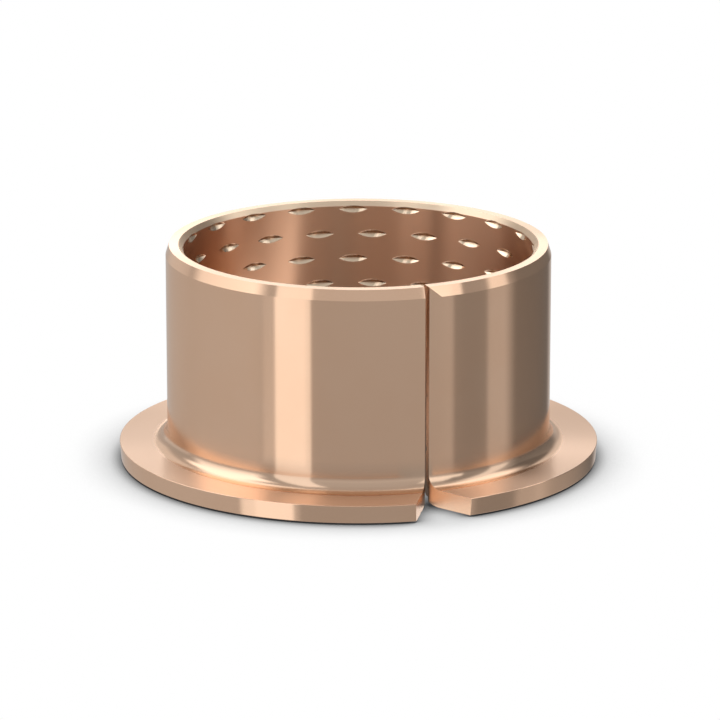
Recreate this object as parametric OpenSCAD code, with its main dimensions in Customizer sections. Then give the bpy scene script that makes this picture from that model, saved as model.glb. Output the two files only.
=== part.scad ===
/* [Strip and bore] */
// inside diameter, the running fit on the shaft
bore_d = 40; // [36:0.5:44]
// thickness of the strip that the bush is rolled from
strip_t = 2; // [1.5:0.1:2.5]
// overall length along the axis, flange included
length = 25; // [20:0.5:40]

/* [Flange] */
// outside diameter of the flange
flange_d = 55; // [52:0.5:62]
// radius of the corner between the barrel's outside and the flange
bend_r = 1.5; // [1:0.1:2]

/* [Joint] */
// width of the straight gap where the two ends of the strip meet
joint_w = 0.45; // [0.2:0.05:0.8]
// angle between the sides of the notch that opens the flange at the joint
notch_angle = 60; // [40:5:80]
// how far along the rim one lip of the joint stands proud of the outer chamfer
lip_run = 1.5; // [0.5:0.1:3]

/* [Chamfers at the free end] */
// height of the outer lead-in chamfer along the axis
outer_chamfer_h = 1.2; // [0.5:0.1:2]
// width of the outer lead-in chamfer across the wall
outer_chamfer_w = 0.38; // [0.2:0.02:0.6]
// height of the inner chamfer along the axis
inner_chamfer_h = 0.55; // [0.2:0.05:1]
// width of the inner chamfer across the wall
inner_chamfer_w = 0.48; // [0.2:0.02:0.7]

/* [Lubrication pockets] */
// length of a pocket around the bore, from point to point
pocket_l = 3.5; // [2:0.1:4.5]
// width of a pocket along the axis
pocket_w = 0.96; // [0.6:0.02:1.4]
// depth of a pocket below the sliding surface
pocket_depth = 0.4; // [0.2:0.05:0.6]
// spacing of the pockets around the bore, rounded to a whole number a turn
pocket_pitch = 6.3; // [5:0.1:9]
// spacing of the rows along the strip
row_pitch = 3; // [2:0.1:5]
// distance of the first row from the free end
first_row = 0.86; // [0.6:0.02:2]
// shift of every second row around the bore, as a share of the spacing
row_shift = 0.36; // [0:0.02:0.5]
// turn of the first row from the middle of the joint, in degrees
row_phase = -0.4; // [-9:0.1:9]

/* [Hidden] */
$fn = 144;

bore_r = bore_d / 2;
barrel_r = bore_r + strip_t;
flange_r = flange_d / 2;

// The strip keeps its thickness round the bend, so both radii share one centre
bend_outer_r = bend_r + strip_t;
bend_x = bore_r + bend_outer_r;

// Distances along the sliding surface, counted from the free end
straight_run = length - bend_outer_r;
bend_run = bend_outer_r * PI / 2;
flange_run = flange_r - bend_x;

// The rows run on from the bore round the bend and out over the thrust face
edge_land = 0.5;
last_row = straight_run + bend_run + flange_run - pocket_w / 2 - edge_land;
rows = 1 + floor((last_row - first_row) / row_pitch);
per_turn = round(PI * bore_d / pocket_pitch);
pocket_step = 360 / per_turn;

// The joint faces -Y
joint_dir = -90;
over = 1;

// Height over the thrust face, radius and tilt of the sliding surface at distance s
function bend_turn(s) = 90 * min(max((s - straight_run) / bend_run, 0), 1);
function surface_z(s) =
    s < straight_run ? length - s : bend_outer_r * (1 - sin(bend_turn(s)));
function surface_r(s) =
    s < straight_run
    ? bore_r
    : bend_x - bend_outer_r * cos(bend_turn(s)) + max(s - straight_run - bend_run, 0);

// Radius of the two cones whose overlap is a pocket with its points on the surface.
// The bore curves away from a flat pocket by sag over half its length.
function cone_r(half_l, half_w, sag) =
    let (e = -sag * half_w / pocket_depth)
    (half_l * half_l + half_w * half_w - e * e) / (2 * (half_w - e));

// Section of the bent strip: the barrel, the bend and the flange
module strip_section() {
    translate([bore_r, bend_outer_r])
        square([strip_t, length - bend_outer_r]);
    translate([bend_x, 0])
        square([flange_r - bend_x, strip_t]);
    intersection() {
        translate([bore_r, 0])
            square(bend_outer_r);
        difference() {
            translate([bend_x, bend_outer_r])
                circle(bend_outer_r);
            translate([bend_x, bend_outer_r])
                circle(bend_r);
        }
    }
}

// Corner that the inner chamfer takes off the mouth of the bore
module inner_chamfer_section() {
    polygon([
        [bore_r - over, length - inner_chamfer_h - over * inner_chamfer_h / inner_chamfer_w],
        [bore_r + inner_chamfer_w + over, length + over * inner_chamfer_h / inner_chamfer_w],
        [bore_r - over, length + over * inner_chamfer_h / inner_chamfer_w],
    ]);
}

// Corner that the outer lead-in chamfer takes off the barrel
module outer_chamfer_section() {
    slope = outer_chamfer_h / outer_chamfer_w;
    polygon([
        [barrel_r - outer_chamfer_w - over / slope, length + over],
        [barrel_r + over / slope, length - outer_chamfer_h - over],
        [barrel_r + over, length - outer_chamfer_h - over],
        [barrel_r + over, length + over],
    ]);
}

// Part of one lip of the joint that the outer chamfer leaves standing
module proud_lip() {
    lip_x = joint_w / 2;
    translate([0, -barrel_r + strip_t, 0])
        rotate([90, 0, 0])
            linear_extrude(height = strip_t + over)
                polygon([
                    [0, length],
                    [lip_x, length],
                    [lip_x + lip_run, length - outer_chamfer_h],
                    [lip_x + lip_run + over, length - outer_chamfer_h - over],
                    [0, length - outer_chamfer_h - over],
                ]);
}

// Gap down the barrel, and the notch that widens from it through the flange
module joint_gap() {
    notch_h = bend_outer_r + over;
    reach = flange_r + over;
    spread = (reach - barrel_r) * tan(notch_angle / 2);
    translate([-joint_w / 2, -reach, -over])
        cube([joint_w, reach, length + 2 * over]);
    translate([0, 0, -over])
        linear_extrude(height = notch_h + over)
            polygon([
                [-joint_w / 2, -barrel_r],
                [-joint_w / 2 - spread, -reach],
                [joint_w / 2 + spread, -reach],
                [joint_w / 2, -barrel_r],
            ]);
}

// Boat-shaped cutter: X along its length, Z down into the strip
module pocket_cutter(half_l, sag) {
    half_w = pocket_w / 2;
    taper = half_w / pocket_depth;
    r = cone_r(half_l, half_w, sag);
    // Both cones start above the surface and end below the keel
    top = -pocket_depth / 2;
    bottom = 3 * pocket_depth / 2;
    intersection_for (side = [-1, 1])
        translate([0, side * (r - half_w), top])
            cylinder(r1 = r - top * taper, r2 = r - bottom * taper, h = bottom - top);
}

// Cutter of one pocket at distance s along the strip and angle a around the axis
module pocket(s, a) {
    stretch = surface_r(s) / bore_r;
    half_l = stretch * pocket_l / 2;
    sag = cos(bend_turn(s)) * (bore_r - sqrt(bore_r * bore_r - half_l * half_l));
    rotate([0, 0, a])
        translate([surface_r(s), 0, surface_z(s)])
            rotate([0, 90 - bend_turn(s), 0])
                rotate([0, 0, 90])
                    pocket_cutter(half_l, sag);
}

module pockets() {
    for (row = [0:rows - 1])
        for (k = [0:per_turn - 1])
            pocket(
                first_row + row * row_pitch,
                joint_dir + row_phase + pocket_step * (k - (row % 2) * row_shift)
            );
}

// Wrapped bronze bush in one piece, standing on the thrust face of its flange
module flanged_bush() {
    color("peru")
        difference() {
            rotate_extrude()
                difference() {
                    strip_section();
                    inner_chamfer_section();
                }
            difference() {
                rotate_extrude()
                    outer_chamfer_section();
                proud_lip();
            }
            joint_gap();
            pockets();
        }
}

flanged_bush();
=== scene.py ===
"""Polished wrapped bronze flanged bushing on a plain pale floor."""
import math
from collections import namedtuple

import bmesh
import bpy
from bpy.props import FloatProperty, FloatVectorProperty, IntProperty, PointerProperty
from mathutils import Matrix, Vector


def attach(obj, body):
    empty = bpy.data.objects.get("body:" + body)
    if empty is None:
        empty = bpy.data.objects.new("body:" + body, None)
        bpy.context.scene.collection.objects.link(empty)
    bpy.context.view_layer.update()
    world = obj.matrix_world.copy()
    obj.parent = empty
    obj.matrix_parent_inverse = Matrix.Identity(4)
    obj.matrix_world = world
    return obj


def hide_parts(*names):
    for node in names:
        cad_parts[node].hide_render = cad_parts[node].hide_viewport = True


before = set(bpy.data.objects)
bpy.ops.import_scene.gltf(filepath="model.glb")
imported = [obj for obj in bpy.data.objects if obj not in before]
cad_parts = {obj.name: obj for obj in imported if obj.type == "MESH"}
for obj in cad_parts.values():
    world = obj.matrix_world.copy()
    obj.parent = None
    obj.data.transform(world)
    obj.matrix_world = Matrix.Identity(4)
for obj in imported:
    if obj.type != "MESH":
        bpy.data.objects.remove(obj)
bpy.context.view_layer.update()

bl_info = {
    "name": "Wrapped flanged bushing",
    "version": (1, 0, 0),
    "blender": (4, 5, 0),
    "location": "3D View > Sidebar > Bushing",
    "description": "Builds a rolled bronze bushing with a bent flange and lubrication pockets",
    "category": "Add Mesh",
}

CAD_NODE = "flanged_bush"
BODY = "root"

# Shapes are made in millimetres and brought to metres when they are finished
MM = 0.001
# How far a cutter reaches past what it cuts, and how close points are merged
OVER = 1.0
TINY = 1e-5


def length_prop(name, description, default):
    """A length in metres, shown in the scene's units."""
    return FloatProperty(
        name=name, description=description, default=default, subtype="DISTANCE",
        unit="LENGTH", precision=5, min=0.0,
    )


def angle_prop(name, description, degrees):
    """An angle, stored in radians."""
    return FloatProperty(
        name=name, description=description, default=math.radians(degrees),
        subtype="ANGLE", unit="ROTATION",
    )


def share_prop(name, description, default):
    """A share between 0 and 1."""
    return FloatProperty(
        name=name, description=description, default=default, subtype="FACTOR",
        min=0.0, max=1.0,
    )


def light_prop(name, description, default):
    """A brightness, where 1 is white."""
    return FloatProperty(name=name, description=description, default=default, min=0.0)


def colour_prop(name, description, default):
    """A linear colour."""
    return FloatVectorProperty(
        name=name, description=description, default=default, subtype="COLOR",
        size=3, min=0.0, max=1.0,
    )


class BushSizes(bpy.types.PropertyGroup):
    """Sizes of the rolled and bent strip"""

    bore_d: length_prop("Bore", "Inside diameter that runs on the shaft", 0.040)
    strip_t: length_prop("Strip thickness", "Thickness of the rolled strip", 0.002)
    length: length_prop("Length", "Overall length, flange included", 0.025)
    flange_d: length_prop("Flange", "Outside diameter of the flange", 0.055)
    bend_r: length_prop("Bend radius", "Corner between the barrel and the flange", 0.0015)
    edge_break: length_prop("Edge break", "Rounding of the flange's rim edges", 0.00006)
    rim_taper: angle_prop("Rim taper", "Lean of the sheared rim towards its lower edge", 4.5)
    around: IntProperty(
        name="Steps around", description="Facets in one turn of the strip",
        default=720, min=24,
    )


class JointSizes(bpy.types.PropertyGroup):
    """Sizes of the butt joint and its notch"""

    width: length_prop("Gap", "Width of the straight gap between the strip's ends", 0.00045)
    notch: angle_prop("Notch angle", "Angle between the sides of the notch", 60)
    lip_run: length_prop("Proud lip", "Length of the lip that stands proud at the rim", 0.0015)


class ChamferSizes(bpy.types.PropertyGroup):
    """Sizes of the chamfers at the free end"""

    outer_h: length_prop("Outer height", "Height of the outer lead-in chamfer", 0.0012)
    outer_w: length_prop("Outer width", "Width of the outer lead-in chamfer", 0.00038)
    inner_h: length_prop("Inner height", "Height of the inner chamfer", 0.00055)
    inner_w: length_prop("Inner width", "Width of the inner chamfer", 0.00048)


class PocketSizes(bpy.types.PropertyGroup):
    """Sizes and spacing of the lubrication pockets"""

    length: length_prop("Length", "Length of a pocket around the bore", 0.0035)
    width: length_prop("Width", "Width of a pocket along the axis", 0.00096)
    depth: length_prop("Depth", "Depth of a pocket below the sliding surface", 0.0004)
    pitch: length_prop("Spacing", "Spacing of the pockets around the bore", 0.0063)
    row_pitch: length_prop("Row spacing", "Spacing of the rows along the strip", 0.003)
    first_row: length_prop("First row", "Distance of the first row from the free end", 0.00086)
    row_shift: share_prop("Row shift", "Shift of every second row, by the spacing", 0.36)
    row_phase: angle_prop("Row phase", "Turn of the first row from the joint", -0.4)
    edge_land: length_prop("Edge land", "Plain land left inside the flange's rim", 0.0005)


class BronzeFinish(bpy.types.PropertyGroup):
    """Colour and finish of the polished bronze"""

    colour: colour_prop("Bronze", "Colour of the polished bronze", (0.90, 0.61, 0.43))
    shade: colour_prop("Warm shade", "Colour of the tarnished patches", (0.86, 0.56, 0.38))
    # Partly the sliding surface's own duller tone, partly painted shade: the darker bore bronze
    # stands in for the dim inside of the bush
    sliding: colour_prop("Bore bronze", "Colour of the sliding surface", (0.69, 0.42, 0.275))
    # Painted sheen: a lighter, paler bronze on the pockets and inner chamfer paints in their
    # bright reflections
    pressed_painted_sheen: colour_prop("Painted sheen", "Colour of pockets and inner chamfer", (1.0, 0.8, 0.6))
    # Painted shade: dark bronze on the pocket faces that look down, where shade falls
    under: colour_prop("Pocket shade", "Colour of pocket faces that look down", (0.34, 0.23, 0.16))
    # Painted shade: darker bronze on the barrel's foot, in the crease above the bend
    foot_painted_shade: colour_prop("Barrel's foot", "Colour just above the bend", (0.70, 0.51, 0.375))
    flat: colour_prop("Flange bronze", "Colour of the flange's flat top", (0.91, 0.63, 0.46))
    # Painted shade: darker bronze on the faces deep in the joint
    dark: colour_prop("Painted gap shade", "Colour of the faces deep in the joint", (0.56, 0.40, 0.30))
    edge: colour_prop("Edge tint", "Colour of the bronze at a glancing angle", (1.0, 0.95, 0.90))
    roughness: share_prop("Roughness", "Blur of the polished surface", 0.14)
    bore_roughness: share_prop("Bore roughness", "Blur of the sliding surface", 0.29)
    pressed_roughness: share_prop("Pressed roughness", "Blur of the pockets", 0.17)
    chamfer_roughness: share_prop("Chamfer roughness", "Blur of the inner chamfer", 0.42)
    flange_roughness: share_prop("Flange roughness", "Blur of the flange's flat top", 0.30)
    cut_roughness: share_prop("Cut roughness", "Blur of the sheared faces at the joint", 0.22)
    grain: share_prop("Grain", "How much the rolling lines blur one way only", 1.0)


class StudioLook(bpy.types.PropertyGroup):
    """Camera and floor of the plain studio"""

    azimuth: angle_prop("Azimuth", "Angle of the camera around the axis", -20.2)
    elevation: angle_prop("Elevation", "Angle of the camera above the floor", 15.375)
    distance: length_prop("Distance", "Distance of the camera from its aim", 0.53782)
    aim_height: length_prop("Aim height", "Height of the camera's aim over the floor", 0.011095)
    aim_side: length_prop("Aim side", "Shift of the camera's aim to the right", 0.000178)
    lens: FloatProperty(
        name="Lens", description="Focal length on a 36 mm sensor", default=234.16,
        subtype="DISTANCE_CAMERA", unit="CAMERA",
    )
    floor_colour: colour_prop("Floor", "Colour of the pale floor", (1.0, 1.0, 1.0))
    floor_size: length_prop("Floor size", "Side of the square floor", 1.2)
    shadow_reach: length_prop("Shadow reach", "How far the contact shadow spreads", 0.014)
    floor_gap: length_prop("Floor gap", "Thin dark line left under the flange", 0.0002)
    # Painted light and shade on the floor, seen only in the bronze's reflections: the dim floor
    # inside the bush, the pool of light on it and the patch in the notch
    bore_light: light_prop("Light inside", "Floor inside the bush, seen in the bore", 0.13)
    pool_light: light_prop("Pool of light", "Light through the mouth on that floor", 2.5)
    notch_light: light_prop("Notch light", "Floor inside the notch, seen in its faces", 1.0)


GROUPS = {
    "bush_sizes": BushSizes,
    "bush_joint": JointSizes,
    "bush_chamfers": ChamferSizes,
    "bush_pockets": PocketSizes,
    "bush_finish": BronzeFinish,
    "bush_studio": StudioLook,
}


class Num:
    """A number in a node tree. The usual operators on it add Math nodes."""

    def __init__(self, tree, socket):
        self.tree, self.socket = tree, socket

    def _math(self, operation, *values):
        return self.tree.node("ShaderNodeMath", {"operation": operation}, *values)

    def __add__(self, other):
        return self._math("ADD", self, other)

    def __radd__(self, other):
        return self._math("ADD", other, self)

    def __sub__(self, other):
        return self._math("SUBTRACT", self, other)

    def __rsub__(self, other):
        return self._math("SUBTRACT", other, self)

    def __mul__(self, other):
        return self._math("MULTIPLY", self, other)

    def __rmul__(self, other):
        return self._math("MULTIPLY", other, self)

    def __pow__(self, other):
        return self._math("POWER", self, other)

    def __abs__(self):
        return self._math("ABSOLUTE", self)

    def least(self, other):
        """The smaller of this number and another."""
        return self._math("MINIMUM", self, other)

    def most(self, other):
        """The larger of this number and another."""
        return self._math("MAXIMUM", self, other)

    def modulo(self, step):
        """What is left of this number after whole steps."""
        return self._math("FLOORED_MODULO", self, step)

    def ramp(self, start, end, low=0.0, high=1.0, smooth=True):
        """Goes from low to high while this number goes from start to end."""
        kind = "SMOOTHSTEP" if smooth else "LINEAR"
        return self.tree.node(
            "ShaderNodeMapRange", {"interpolation_type": kind, "clamp": True},
            self, start, end, low, high,
        )


# Places of the outputs that are used of Texture Coordinate, Ambient Occlusion and Mix
GENERATED, OBJECT = 0, 3
OPENNESS = 1
MIXED_COLOUR = 2
# Places of the factor and the two colours among the inputs of Mix
MIX_INPUTS = (0, 6, 7)


class Tree:
    """Adds nodes to a material's or the world's node tree."""

    def __init__(self, owner):
        owner.use_nodes = True
        self.nodes, self.links = owner.node_tree.nodes, owner.node_tree.links
        self.nodes.clear()

    def node(self, kind, settings=None, *values, out=0, **named):
        """One node: its settings first, then its sockets by place or by name."""
        made = self.nodes.new(kind)
        for key, value in (settings or {}).items():
            setattr(made, key, value)
        sockets = [*enumerate(values), *((k.replace("_", " "), v) for k, v in named.items())]
        for key, value in sockets:
            socket = made.inputs[key]
            if isinstance(value, Num):
                self.links.new(value.socket, socket)
            elif value is not None:
                socket.default_value = value
        return Num(self, made.outputs[out]) if made.outputs else made

    def split(self, vector):
        """The three numbers of a vector."""
        outputs = self.node("ShaderNodeSeparateXYZ", None, vector).socket.node.outputs
        return [Num(self, output) for output in outputs]

    def join(self, x, y, z):
        """A vector of three numbers."""
        return self.node("ShaderNodeCombineXYZ", None, x, y, z)

    def blend(self, factor, first, second):
        """A colour between two colours."""
        mixed = self.nodes.new("ShaderNodeMix")
        mixed.data_type = "RGBA"
        for place, value in zip(MIX_INPUTS, (factor, first, second)):
            if isinstance(value, Num):
                self.links.new(value.socket, mixed.inputs[place])
            else:
                mixed.inputs[place].default_value = value
        return Num(self, mixed.outputs[MIXED_COLOUR])


def rgba(colour):
    """A colour with its alpha."""
    return (*colour, 1.0)


def polygon(bm, points):
    """A face through points in the XZ plane."""
    return bm.faces.new([bm.verts.new((x, 0.0, z)) for x, z in points])


def round_corner(bm, corner, radius, segments):
    """Rounds one corner of a flat outline."""
    near = min(bm.verts, key=lambda v: (v.co - Vector((corner[0], 0.0, corner[1]))).length)
    bmesh.ops.bevel(
        bm, geom=[near], offset=radius, offset_type="OFFSET", segments=segments,
        profile=0.5, affect="VERTICES", material=-1,
    )


def spin_round(bm, steps):
    """Turns a closed outline once around the axis."""
    bmesh.ops.delete(bm, geom=bm.faces[:], context="FACES_ONLY")
    bmesh.ops.spin(
        bm, geom=bm.verts[:] + bm.edges[:], cent=(0, 0, 0), axis=(0, 0, 1),
        angle=math.tau, steps=steps, use_merge=True,
    )
    bmesh.ops.remove_doubles(bm, verts=bm.verts[:], dist=TINY)
    bmesh.ops.recalc_face_normals(bm, faces=bm.faces[:])


def thicken(bm, shift):
    """Draws a flat outline out into a block."""
    block = bmesh.ops.extrude_face_region(bm, geom=bm.faces[:])
    far = [v for v in block["geom"] if isinstance(v, bmesh.types.BMVert)]
    bmesh.ops.translate(bm, verts=far, vec=shift)
    bmesh.ops.recalc_face_normals(bm, faces=bm.faces[:])


def scratch(name, bm):
    """An object that holds a shape while it is being cut."""
    mesh = bpy.data.meshes.new(name)
    bm.to_mesh(mesh)
    bm.free()
    thing = bpy.data.objects.new(name, mesh)
    bpy.context.scene.collection.objects.link(thing)
    return thing


def subtract(thing, *tools):
    """Takes each tool's shape out of a thing and removes the tool."""
    for tool in tools:
        cut = thing.modifiers.new("cut", "BOOLEAN")
        cut.operation, cut.object, cut.solver = "DIFFERENCE", tool, "MANIFOLD"
        graph = bpy.context.evaluated_depsgraph_get()
        shaped = bpy.data.meshes.new_from_object(thing.evaluated_get(graph))
        thing.modifiers.clear()
        old, thing.data = thing.data, shaped
        bpy.data.meshes.remove(old)
        spent = tool.data
        bpy.data.objects.remove(tool)
        bpy.data.meshes.remove(spent)
        if not thing.data.polygons:
            raise RuntimeError("a cut left nothing of " + thing.name)


class StripShape:
    """The strip's sizes in millimetres, and points on its sliding surface."""

    def __init__(self, scene):
        sizes = scene.bush_sizes
        self.bore_r = sizes.bore_d / MM / 2
        self.strip_t = sizes.strip_t / MM
        self.length = sizes.length / MM
        self.flange_r = sizes.flange_d / MM / 2
        self.bend_r = sizes.bend_r / MM
        self.edge_break = sizes.edge_break / MM
        self.rim_taper = self.strip_t * math.tan(sizes.rim_taper)
        self.around = sizes.around
        self.barrel_r = self.bore_r + self.strip_t
        self.bend_outer_r = self.bend_r + self.strip_t
        self.bend_x = self.bore_r + self.bend_outer_r
        self.straight_run = self.length - self.bend_outer_r
        self.bend_run = self.bend_outer_r * math.pi / 2
        self.flange_run = self.flange_r - self.bend_x

    def bend_turn(self, s):
        """How far the strip has turned at distance s from the free end."""
        return math.pi / 2 * min(max((s - self.straight_run) / self.bend_run, 0.0), 1.0)

    def height(self, s):
        """Height of the sliding surface over the thrust face."""
        if s < self.straight_run:
            return self.length - s
        return self.bend_outer_r * (1 - math.sin(self.bend_turn(s)))

    def radius(self, s):
        """Radius of the sliding surface."""
        if s < self.straight_run:
            return self.bore_r
        past = max(s - self.straight_run - self.bend_run, 0.0)
        return self.bend_x - self.bend_outer_r * math.cos(self.bend_turn(s)) + past


# Steps in the arcs of the bend and of the rim's edges
ARC_STEPS = 24
EDGE_STEPS = 2
# Narrow band of flat surface beside the bend, which keeps its shading smooth
SUPPORT = 0.12


def strip_body(shape, chamfers):
    """The whole ring: barrel, bend and flange, with the inner chamfer."""
    inner_h, inner_w = chamfers.inner_h / MM, chamfers.inner_w / MM
    bm = bmesh.new()
    heel = (shape.bore_r, 0.0)
    toe = (shape.barrel_r, shape.strip_t)
    low_rim = (shape.flange_r - shape.rim_taper, 0.0)
    high_rim = (shape.flange_r, shape.strip_t)
    polygon(bm, [
        heel,
        (shape.bend_x + SUPPORT, 0.0),
        low_rim,
        high_rim,
        (shape.barrel_r + shape.bend_r + SUPPORT, shape.strip_t),
        toe,
        (shape.barrel_r, shape.bend_outer_r + SUPPORT),
        (shape.barrel_r, shape.length),
        (shape.bore_r + inner_w, shape.length),
        (shape.bore_r, shape.length - inner_h),
        (shape.bore_r, shape.bend_outer_r + SUPPORT),
    ])
    round_corner(bm, heel, shape.bend_outer_r, ARC_STEPS)
    round_corner(bm, toe, shape.bend_r, ARC_STEPS)
    round_corner(bm, low_rim, shape.edge_break, EDGE_STEPS)
    round_corner(bm, high_rim, shape.edge_break, EDGE_STEPS)
    spin_round(bm, shape.around)
    return scratch("strip_body", bm)


def chamfer_cutter(shape, chamfers, joint):
    """Ring that cuts the outer chamfer, open where one lip stands proud."""
    high, wide = chamfers.outer_h / MM, chamfers.outer_w / MM
    slope = high / wide
    bm = bmesh.new()
    polygon(bm, [
        (shape.barrel_r - wide - OVER / slope, shape.length + OVER),
        (shape.barrel_r + OVER / slope, shape.length - high - OVER),
        (shape.barrel_r + OVER, shape.length - high - OVER),
        (shape.barrel_r + OVER, shape.length + OVER),
    ])
    spin_round(bm, shape.around)
    ring = scratch("chamfer_cutter", bm)

    lip_x, run = joint.width / MM / 2, joint.lip_run / MM
    bm = bmesh.new()
    polygon(bm, [
        (0.0, shape.length),
        (lip_x, shape.length),
        (lip_x + run, shape.length - high),
        (lip_x + run + OVER, shape.length - high - 2 * OVER),
        (0.0, shape.length - high - 2 * OVER),
    ])
    thicken(bm, (0, -shape.strip_t - 2 * OVER, 0))
    bmesh.ops.translate(bm, verts=bm.verts[:], vec=(0, shape.strip_t - shape.barrel_r, 0))
    subtract(ring, scratch("proud_lip", bm))
    return ring


def joint_cutter(shape, joint):
    """Block that cuts the straight gap and the notch outside it."""
    half, reach = joint.width / MM / 2, shape.flange_r + OVER
    spread = (reach - shape.barrel_r) * math.tan(joint.notch / 2)
    outline = [
        (-half, 0.0), (-half, -shape.barrel_r), (-half - spread, -reach),
        (half + spread, -reach), (half, -shape.barrel_r), (half, 0.0),
    ]
    bm = bmesh.new()
    bm.faces.new([bm.verts.new((x, y, -OVER)) for x, y in outline])
    thicken(bm, (0, 0, shape.length + 2 * OVER))
    return scratch("joint_cutter", bm)


# Steps along a pocket's cutter, and its length as a multiple of the pocket's own
POCKET_STEPS = 14
POCKET_REACH = 1.6


def pocket_form(shape, pockets, s):
    """Boat-shaped cutter at distance s: X along its length, Z down into the strip."""
    half_w, depth = pockets.width / MM / 2, pockets.depth / MM
    half_l = shape.radius(s) / shape.bore_r * pockets.length / MM / 2
    sag = math.cos(shape.bend_turn(s)) * (
        shape.bore_r - math.sqrt(shape.bore_r ** 2 - half_l ** 2)
    )
    taper = half_w / depth
    edge = -sag * half_w / depth
    cone_r = (half_l ** 2 + half_w ** 2 - edge ** 2) / (2 * (half_w - edge))
    bm = bmesh.new()
    # A line from above the surface to below the keel is spun around the cone of one side,
    # then cut off at the middle and mirrored
    reach = math.asin(min(1.0, POCKET_REACH * half_l / cone_r))
    centre = Vector((0, half_w - cone_r, 0))
    side = [
        bm.verts.new(centre + Vector((0, cone_r - z * taper, z)))
        for z in (-depth / 2, depth + depth / 4)
    ]
    line = bm.edges.new(side)
    bmesh.ops.rotate(bm, verts=side, cent=centre, matrix=Matrix.Rotation(-reach, 3, "Z"))
    bmesh.ops.spin(
        bm, geom=side + [line], cent=centre, axis=(0, 0, 1), angle=2 * reach,
        steps=POCKET_STEPS,
    )
    bmesh.ops.bisect_plane(
        bm, geom=bm.verts[:] + bm.edges[:] + bm.faces[:], dist=TINY,
        plane_co=(0, 0, 0), plane_no=(0, -1, 0), clear_outer=True,
    )
    bmesh.ops.mirror(
        bm, geom=bm.verts[:] + bm.edges[:] + bm.faces[:], merge_dist=TINY, axis="Y",
    )
    bmesh.ops.remove_doubles(bm, verts=bm.verts[:], dist=TINY)
    bmesh.ops.holes_fill(bm, edges=[e for e in bm.edges if e.is_boundary], sides=0)
    bmesh.ops.recalc_face_normals(bm, faces=bm.faces[:])
    form = bpy.data.meshes.new("pocket_form")
    bm.to_mesh(form)
    bm.free()
    return form


def pocket_cutters(shape, pockets):
    """Every pocket's cutter, in rows that run on round the bend and over the flange."""
    width, land = pockets.width / MM, pockets.edge_land / MM
    first, pitch = pockets.first_row / MM, pockets.row_pitch / MM
    last = shape.straight_run + shape.bend_run + shape.flange_run - width / 2 - land
    rows = 1 + math.floor((last - first) / pitch)
    per_turn = round(2 * math.pi * shape.bore_r / (pockets.pitch / MM))
    bm = bmesh.new()
    for row in range(rows):
        s = first + row * pitch
        form = pocket_form(shape, pockets, s)
        place = (
            Matrix.Translation((shape.radius(s), 0, shape.height(s)))
            @ Matrix.Rotation(math.pi / 2 - shape.bend_turn(s), 4, "Y")
            @ Matrix.Rotation(math.pi / 2, 4, "Z")
        )
        for k in range(per_turn):
            turn = pockets.row_phase - math.pi / 2 + math.tau / per_turn * (
                k - (row % 2) * pockets.row_shift
            )
            before = len(bm.verts)
            bm.from_mesh(form)
            bm.verts.ensure_lookup_table()
            bmesh.ops.transform(
                bm, matrix=Matrix.Rotation(turn, 4, "Z") @ place, verts=bm.verts[before:],
            )
        bpy.data.meshes.remove(form)
    return scratch("pocket_cutters", bm)


# Faces that meet at a larger angle keep a sharp edge
SHARP_ANGLE = math.radians(11)

# The rolling lines run around the axis, so they blur reflections across it
ACROSS = 0.25
# How close the noise of the lines is around the axis and along it, and that of the patches
LINE_AROUND, LINE_ALONG = 60, 5200
PATCH_SCALE = 110.0
PATCH_FROM, PATCH_FULL = 0.35, 0.75
# How much patches and lines tint the bronze, blur it and dent it
PATCH_TINT, LINE_TINT = 0.5, 0.2
PATCH_BLUR, LINE_BLUR, LESS_BLUR = 0.015, 0.03, 0.02
PATCH_DENT, LINE_DENT = 0.3, 0.7

# How close to a face a point is taken to lie on it
SKIN = 0.00002
# The bore's pockets and the inner chamfer are no deeper than this in the strip, and they lie
# above this height over the flange's top
FRESH_DEPTH = 0.00055
FRESH_FROM = 0.0016
# Painted shade: the barrel's foot is darkened by this share, in the crease above the bend. It
# fades in downwards between the first two heights over the flange's top, and fades out between the
# third and the flange
FOOT_TOP, FOOT_FROM, FOOT_LOW = 0.0038, 0.0016, 0.0008
FOOT_SHARE = 0.7
# The finish changes over this distance where the bend meets the flange's flat top
FLAT_EDGE = 0.0003
# The joint's faces carry a painted shade in the straight gap and until the notch is this much
# wider
GAP_END = 0.0002


def notch_widening(y, sizes, joint):
    """How much farther out than the straight gap's side the notch's side lies."""
    barrel_r = sizes.bore_d / 2 + sizes.strip_t
    return (-barrel_r - y).most(0.0) * math.tan(joint.notch / 2)


def painted_shade_faces(z, radius, scene):
    """1 on the upper face of each pocket in the bore, which looks down, and 0 elsewhere: where the
    pockets get their painted shade.
    """
    sizes, chamfers, pockets = scene.bush_sizes, scene.bush_chamfers, scene.bush_pockets
    keel = pockets.row_pitch / 2
    top = keel - pockets.width / 2
    place = (sizes.length - pockets.first_row + keel - z).modulo(pockets.row_pitch)
    upper = place.ramp(top - SKIN, top, smooth=False) * place.ramp(keel, keel - SKIN, smooth=False)
    # The inner chamfer lies on this cone. What lies deeper belongs to a pocket
    slope = chamfers.inner_w / chamfers.inner_h
    cone = (z - (sizes.length - chamfers.inner_h)) * slope + sizes.bore_d / 2
    return upper * (radius - cone).ramp(SKIN / 2, SKIN, smooth=False)


BronzeFaces = namedtuple("BronzeFaces", "bore pressed shaded mouth foot flange cut gap")


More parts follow.
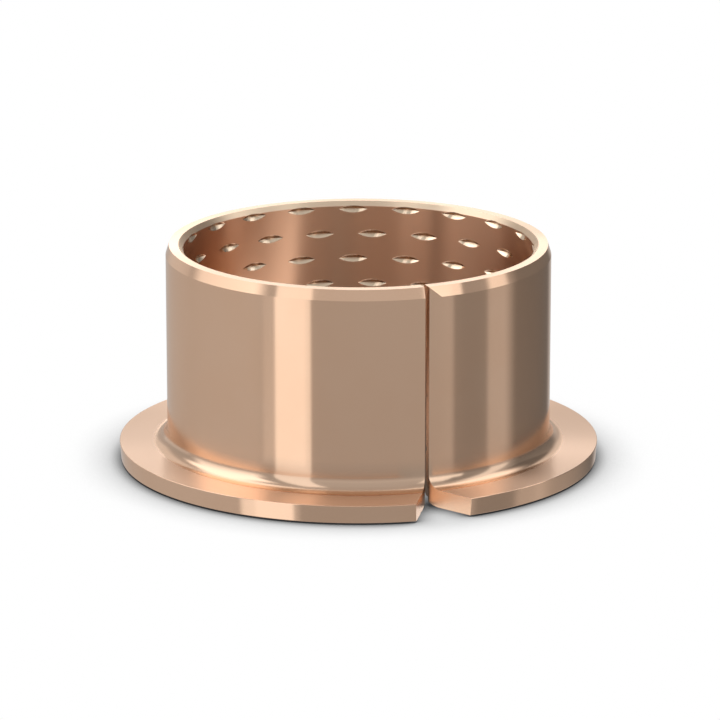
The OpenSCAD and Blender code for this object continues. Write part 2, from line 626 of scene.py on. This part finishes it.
def bronze_faces(x, y, z, radius, scene):
    """Masks that are 1 on one kind of face and 0 elsewhere."""
    sizes, joint = scene.bush_sizes, scene.bush_joint
    bore_r, top = sizes.bore_d / 2, sizes.strip_t
    barrel_r = bore_r + sizes.strip_t
    # The bore's colour is partly painted shade
    bore = radius.ramp(bore_r + 2 * SKIN, bore_r + SKIN, smooth=False)
    # The pressed faces' colour is a painted sheen
    fresh_r, fresh_z = bore_r + FRESH_DEPTH, top + FRESH_FROM
    pressed = (1 - bore) * radius.ramp(fresh_r + SKIN, fresh_r, smooth=False)
    pressed = pressed * z.ramp(fresh_z, fresh_z + SKIN, smooth=False)
    # Painted shade on the pocket faces that look down
    shaded = pressed * painted_shade_faces(z, radius, scene)
    mouth_z = sizes.length - scene.bush_chamfers.inner_h
    mouth = pressed * z.ramp(mouth_z, mouth_z + SKIN, smooth=False)
    # Painted shade at the barrel's foot
    foot = radius.ramp(barrel_r - 2 * SKIN, barrel_r - SKIN, smooth=False)
    foot = foot * z.ramp(top + FOOT_TOP, top + FOOT_FROM) * z.ramp(top + SKIN, top + FOOT_LOW)
    flat_r = barrel_r + sizes.bend_r
    flange = radius.ramp(flat_r - FLAT_EDGE, flat_r + FLAT_EDGE)
    flange = flange * z.ramp(top - SKIN, top, smooth=False)
    widening = notch_widening(y, sizes, joint)
    cut = abs(abs(x) - joint.width / 2 - widening).ramp(2 * SKIN, SKIN, smooth=False)
    cut = cut * y.ramp(0.0, -SKIN, smooth=False)
    # Painted shade deep in the joint
    gap = cut * widening.ramp(GAP_END, 0.0, smooth=False)
    return BronzeFaces(bore, pressed, shaded, mouth, foot * FOOT_SHARE, flange, cut, gap)


def bronze_material(scene):
    """Polished bronze with rolling lines, and a finish of its own on each kind of face, some with
    painted shade or painted sheen in their colour.
    """
    finish = scene.bush_finish
    material = bpy.data.materials.new("polished_bronze")
    tree = Tree(material)
    spot = tree.node("ShaderNodeTexCoord", out=OBJECT)
    x, y, z = tree.split(spot)
    radius = (x * x + y * y) ** 0.5
    faces = bronze_faces(x, y, z, radius, scene)
    lines = tree.node(
        "ShaderNodeTexNoise", {"noise_dimensions": "3D"},
        Vector=tree.join(x * LINE_AROUND, y * LINE_AROUND, (z - radius) * LINE_ALONG),
        Scale=1.0, Detail=2.0, Roughness=0.6,
    )
    clouds = tree.node(
        "ShaderNodeTexNoise", {"noise_dimensions": "3D"},
        Vector=spot, Scale=PATCH_SCALE, Detail=3.0, Roughness=0.5,
    )
    patches = clouds.ramp(PATCH_FROM, PATCH_FULL)

    tarnish = patches * PATCH_TINT + lines * LINE_TINT
    colour = tree.blend(tarnish, rgba(finish.colour), rgba(finish.shade))
    # The pocket colour is a painted sheen; the downward pocket faces, the barrel's foot and the
    # joint's deep faces carry painted shade; the bore's colour is partly painted shade
    for mask, tint in (
        (faces.bore, finish.sliding), (faces.pressed, finish.pressed_painted_sheen), (faces.shaded, finish.under),
        (faces.foot, finish.foot_painted_shade), (faces.flange, finish.flat), (faces.gap, finish.dark),
    ):
        colour = tree.blend(mask, colour, rgba(tint))

    rough = finish.roughness
    for mask, blur in (
        (faces.bore, finish.bore_roughness), (faces.pressed, finish.pressed_roughness),
        (faces.mouth, finish.chamfer_roughness), (faces.flange, finish.flange_roughness),
        (faces.cut, finish.cut_roughness),
    ):
        rough = rough + mask * (blur - rough)
    rough = rough - LESS_BLUR + lines * LINE_BLUR + patches * PATCH_BLUR

    bump = tree.node(
        "ShaderNodeBump", None,
        Strength=0.15, Distance=2e-6, Height=lines * LINE_DENT + clouds * PATCH_DENT,
    )
    shader = tree.node(
        "ShaderNodeBsdfPrincipled", None,
        Base_Color=colour, Roughness=rough, Metallic=1.0, Normal=bump,
        Anisotropic=finish.grain, Anisotropic_Rotation=ACROSS, Specular_Tint=rgba(finish.edge),
    )
    tree.node("ShaderNodeOutputMaterial", None, shader)
    return material


class BUSH_OT_body(bpy.types.Operator):
    """Rolls the bronze strip into the bush, bends its flange and cuts the joint and pockets"""

    bl_idname = "bush.body"
    bl_label = "Flanged bush"

    def execute(self, context):
        scene = context.scene
        shape = StripShape(scene)
        body = strip_body(shape, scene.bush_chamfers)
        subtract(
            body,
            chamfer_cutter(shape, scene.bush_chamfers, scene.bush_joint),
            joint_cutter(shape, scene.bush_joint),
            pocket_cutters(shape, scene.bush_pockets),
        )
        mesh = body.data
        mesh.transform(Matrix.Scale(MM, 4))
        mesh.shade_smooth()
        mesh.set_sharp_from_angle(angle=SHARP_ANGLE)
        mesh.materials.clear()
        mesh.materials.append(bronze_material(scene))
        body.name = mesh.name = "bush_shell"
        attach(body, BODY)
        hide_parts(CAD_NODE)
        return {"FINISHED"}


SoftPanel = namedtuple("SoftPanel", "middle half soft low high fade below above")

# How bright the room is between the panels
ROOM = 0.48
# Panels around the bush, in degrees from the camera's side and above the horizon, later ones
# over earlier ones: middle, half width, soft edge; low and high edge, soft edge; and how
# bright the panel is at its low and at its high edge
PANELS = {
    "front": SoftPanel(5, 50, 20, -90, 18, 10, 0.37, 0.72),
    "front sky": SoftPanel(5, 36, 16, 18, 60, 14, 0.58, 0.55),
    "left floor": SoftPanel(-110, 60, 30, -90, -2, 14, 0.50, 0.52),
    "right low wall": SoftPanel(136, 39, 4, -90, -21, 4, 0.56, 0.56),
    "right flag": SoftPanel(71, 12.5, 3, -90, 6, 6, 0.26, 0.28),
    "right dark": SoftPanel(75, 10, 6, 6, 48, 8, 0.38, 0.38),
    "right back flag": SoftPanel(132, 29, 14, -21, 20, 6, 0.15, 0.24),
    "low back": SoftPanel(180, 13, 8, -90, 0, 8, 0.55, 0.55),
    "under": SoftPanel(0, 180, 0, -90, -34, 6, 0.06, 0.06),
    "high right back": SoftPanel(134, 24, 12, 20, 36, 6, 0.16, 0.16),
    "overhead": SoftPanel(0, 180, 0, 58, 90, 10, 1.75, 1.75),
    "overhead back": SoftPanel(180, 80, 16, 40, 90, 8, 1.45, 1.45),
    "behind": SoftPanel(186, 24, 16, 14, 50, 4, 0.74, 0.85),
    "backdrop": SoftPanel(181.5, 4.5, 2.5, 2, 15.1, 1, 2.00, 2.00),
    "left card": SoftPanel(-86, 26, 12, 2, 26, 8, 0.95, 1.65),
    "left softbox": SoftPanel(-99, 33, 8, 25, 54, 10, 1.80, 1.80),
    "left strip": SoftPanel(-39.2, 11.2, 1.5, -21, 64, 3, 1.15, 1.25),
    "left back card": SoftPanel(-138, 20, 8, -6, 4, 3, 0.68, 0.68),
    "left strip low": SoftPanel(-46, 14, 1.5, -36, -21, 3, 1.20, 1.20),
    "right window": SoftPanel(52, 12, 2, 6, 42, 8, 1.40, 1.20),
    "right shade": SoftPanel(67, 8, 4, 22, 50, 8, 0.32, 0.32),
    "right strip low": SoftPanel(90.5, 6.5, 5, -60, 2, 12, 0.47, 0.50),
    "right strip": SoftPanel(91, 7.5, 5, 2, 54, 10, 1.10, 1.10),
}


# A panel is evenly bright below this height, in degrees
EVEN_BELOW = -20
# White, which the camera and plain surfaces see instead of the room
PLAIN = 1.0


def panel_mask(azimuth, elevation, panel):
    """1 inside a panel and 0 outside it, with soft edges."""
    off = abs(azimuth - panel.middle)
    off = off.least(360 - off)
    across = off.ramp(panel.half + panel.soft / 2, panel.half - panel.soft / 2)
    over = elevation.ramp(panel.low - panel.fade / 2, panel.low + panel.fade / 2)
    under = elevation.ramp(panel.high + panel.fade / 2, panel.high - panel.fade / 2)
    return across * over * under


def seen_from_camera(studio, x, y):
    """Distances to the camera's right and toward the camera."""
    side, near = math.cos(studio.azimuth), math.sin(studio.azimuth)
    return x * side + y * near, x * near - y * side


def studio_world(studio):
    """White behind the bush, with the soft panels of a studio in its reflections."""
    world = bpy.data.worlds.new("studio")
    tree = Tree(world)
    x, y, z = tree.split(tree.node("ShaderNodeTexCoord", out=GENERATED))
    right, toward = seen_from_camera(studio, x, y)
    degree = 180 / math.pi
    azimuth = tree.node("ShaderNodeMath", {"operation": "ARCTAN2"}, right, toward) * degree
    elevation = tree.node("ShaderNodeMath", {"operation": "ARCSINE"}, z) * degree
    light = ROOM
    for panel in PANELS.values():
        level = elevation.ramp(
            max(panel.low, EVEN_BELOW), max(panel.high, EVEN_BELOW + 1),
            panel.below, panel.above, smooth=False,
        )
        light = light + panel_mask(azimuth, elevation, panel) * (level - light)
    path = tree.node("ShaderNodeLightPath").socket.node.outputs
    camera, glossy, through = (
        Num(tree, path[name]) for name in ("Is Camera Ray", "Is Glossy Ray", "Is Transmission Ray")
    )
    seen = glossy.most(through) * (light - PLAIN) + PLAIN
    seen = camera * (PLAIN - seen) + seen
    background = tree.node(
        "ShaderNodeBackground", None, Color=tree.join(seen, seen, seen), Strength=1.0,
    )
    tree.node("ShaderNodeOutputWorld", None, background)
    world.cycles.sampling_method = "NONE"
    bpy.context.scene.world = world


# How open the sky is where the painted contact shadow is darkest and where the floor is white, and
# how dark it gets
SKY_SHUT, SKY_OPEN = 0.38, 0.94
DARKEST = 0.03
SKY_SAMPLES = 16
# The painted patch of floor seen in the notch's reflections starts this far inside the barrel and
# ends this far inside the rim
NOTCH_START, NOTCH_END = 0.0004, 0.0003
# The painted extra light in the notch: how far inside the rim its middle lies, its reach and its
# share
LIFT_INSIDE, LIFT_REACH, LIFT_SHARE = 0.002, 0.0045, 0.38
# The painted pool of light on the floor inside, standing in for light through the mouth: its side,
# as an angle from the camera's, then where it starts and where its far part is dimmer, by this
# share
POOL_AZIMUTH = math.radians(129)
POOL_EDGE, POOL_FAR = (0.0084, 0.0106), (0.0120, 0.0150)
POOL_FADE = 0.35


def floor_light(tree, scene, x, y):
    """How light the floor is. A painted contact shadow, drawn from ambient occlusion, darkens it
    only close to what stands on it.
    """
    sky = tree.node(
        "ShaderNodeAmbientOcclusion", {"samples": SKY_SAMPLES},
        Distance=scene.bush_studio.shadow_reach, out=OPENNESS,
    )
    light = sky.ramp(SKY_SHUT, SKY_OPEN, DARKEST, 1.0, smooth=False)
    # Painted light: the floor between the notch's faces is lifted toward white, as if the notch
    # let more light down
    off = y + (scene.bush_sizes.flange_d / 2 - LIFT_INSIDE)
    painted_notch_light = ((x * x + off * off) ** 0.5).ramp(LIFT_REACH, 0.0)
    return light + painted_notch_light * LIFT_SHARE * (1 - light)


def floor_in_bronze(scene, x, y):
    """Where the bronze mirrors the floor, and how bright the floor is there: painted light and
    shade that only reflections see.
    """
    studio, sizes, joint = scene.bush_studio, scene.bush_sizes, scene.bush_joint
    barrel_r = sizes.bore_d / 2 + sizes.strip_t
    radius = (x * x + y * y) ** 0.5
    side = notch_widening(y, sizes, joint) + joint.width / 2
    start, end = NOTCH_START - barrel_r, sizes.flange_d / 2 - NOTCH_END
    notch = radius.ramp(end, end - SKIN, smooth=False)
    notch = notch * (side - abs(x)).ramp(0.0, SKIN, smooth=False)
    notch = notch * y.ramp(start, start - SKIN, smooth=False)
    # Painted shade: the floor inside the bush is dim in reflections, but for a painted pool of
    # light
    bend_x = barrel_r + sizes.bend_r
    under = (1 - notch) * radius.ramp(bend_x, bend_x - FLAT_EDGE)
    right, toward = seen_from_camera(studio, x, y)
    pool = right * math.sin(POOL_AZIMUTH) + toward * math.cos(POOL_AZIMUTH)
    pool = pool.ramp(*POOL_EDGE) * (1 - POOL_FADE * pool.ramp(*POOL_FAR))
    inner = studio.bore_light + pool * studio.pool_light
    return notch + under, notch * studio.notch_light + under * inner


def floor_material(scene):
    """Pale floor. Seen from below, and in most reflections, it is clear."""
    material = bpy.data.materials.new("pale_floor")
    tree = Tree(material)
    x, y = tree.split(tree.node("ShaderNodeTexCoord", out=OBJECT))[:2]
    white = rgba(scene.bush_studio.floor_colour)
    clear = tree.node("ShaderNodeBsdfTransparent")
    lit = tree.node("ShaderNodeEmission", None, white, floor_light(tree, scene, x, y))
    behind = Num(tree, tree.node("ShaderNodeNewGeometry").socket.node.outputs["Backfacing"])
    plain = tree.node("ShaderNodeMixShader", None, behind, lit, clear)
    # In reflections the floor shows painted light and shade in the notch and inside the bush
    where, light = floor_in_bronze(scene, x, y)
    bright = tree.node("ShaderNodeEmission", None, white, light)
    mirrored = tree.node("ShaderNodeMixShader", None, where, clear, bright)
    path = tree.node("ShaderNodeLightPath").socket.node.outputs
    glossy = Num(tree, path["Is Glossy Ray"])
    shader = tree.node("ShaderNodeMixShader", None, glossy, plain, mirrored)
    tree.node("ShaderNodeOutputMaterial", None, shader)
    return material


# Width of the camera's sensor in millimetres, and how near and far it sees in metres
SENSOR = 36.0
NEAREST, FARTHEST = 0.01, 10.0


def camera_frame(studio):
    """The camera's forward and right directions."""
    a, e = studio.azimuth, studio.elevation
    forward = Vector((-math.sin(a) * math.cos(e), math.cos(a) * math.cos(e), -math.sin(e)))
    return forward, Vector((math.cos(a), math.sin(a), 0.0))


class BUSH_OT_stage(bpy.types.Operator):
    """Lays the pale floor, lights the studio and sets the camera"""

    bl_idname = "bush.stage"
    bl_label = "Studio"

    def execute(self, context):
        studio = context.scene.bush_studio
        bm = bmesh.new()
        bmesh.ops.create_grid(bm, x_segments=1, y_segments=1, size=studio.floor_size / 2)
        bmesh.ops.translate(bm, verts=bm.verts[:], vec=(0, 0, -studio.floor_gap))
        floor = scratch("floor", bm)
        floor.data.materials.append(floor_material(context.scene))

        studio_world(studio)

        forward, right = camera_frame(studio)
        lens = bpy.data.cameras.new("camera")
        lens.sensor_width, lens.lens = SENSOR, studio.lens
        lens.clip_start, lens.clip_end = NEAREST, FARTHEST
        camera = bpy.data.objects.new("camera", lens)
        context.scene.collection.objects.link(camera)
        aim = Vector((0, 0, studio.aim_height)) + right * studio.aim_side
        camera.location = aim - forward * studio.distance
        camera.rotation_euler = forward.to_track_quat("-Z", "Y").to_euler()
        context.scene.camera = camera
        context.scene.view_settings.view_transform = "Standard"
        return {"FINISHED"}


class BUSH_PT_panel(bpy.types.Panel):
    """Lists the bushing's pieces and their sizes"""

    bl_idname = "BUSH_PT_panel"
    bl_label = "Flanged bushing"
    bl_space_type = "VIEW_3D"
    bl_region_type = "UI"
    bl_category = "Bushing"

    def draw(self, context):
        layout = self.layout
        for operator in OPERATORS:
            layout.operator(operator.bl_idname)
        for name, group in GROUPS.items():
            box = layout.box()
            box.label(text=group.__doc__)
            for key in group.__annotations__:
                box.prop(getattr(context.scene, name), key)


OPERATORS = (BUSH_OT_body, BUSH_OT_stage)


def register():
    """Registers the classes and hangs the sizes on the scene."""
    for group in GROUPS.values():
        bpy.utils.register_class(group)
    for name, group in GROUPS.items():
        setattr(bpy.types.Scene, name, PointerProperty(type=group))
    for operator in OPERATORS:
        bpy.utils.register_class(operator)
    bpy.utils.register_class(BUSH_PT_panel)


def unregister():
    """Takes the classes and the sizes away again."""
    bpy.utils.unregister_class(BUSH_PT_panel)
    for operator in reversed(OPERATORS):
        bpy.utils.unregister_class(operator)
    for name in GROUPS:
        delattr(bpy.types.Scene, name)
    for group in reversed(GROUPS.values()):
        bpy.utils.unregister_class(group)


def main():
    """Builds the bushing and its studio."""
    register()
    bpy.ops.bush.body()
    bpy.ops.bush.stage()


if __name__ == "__main__":
    main()
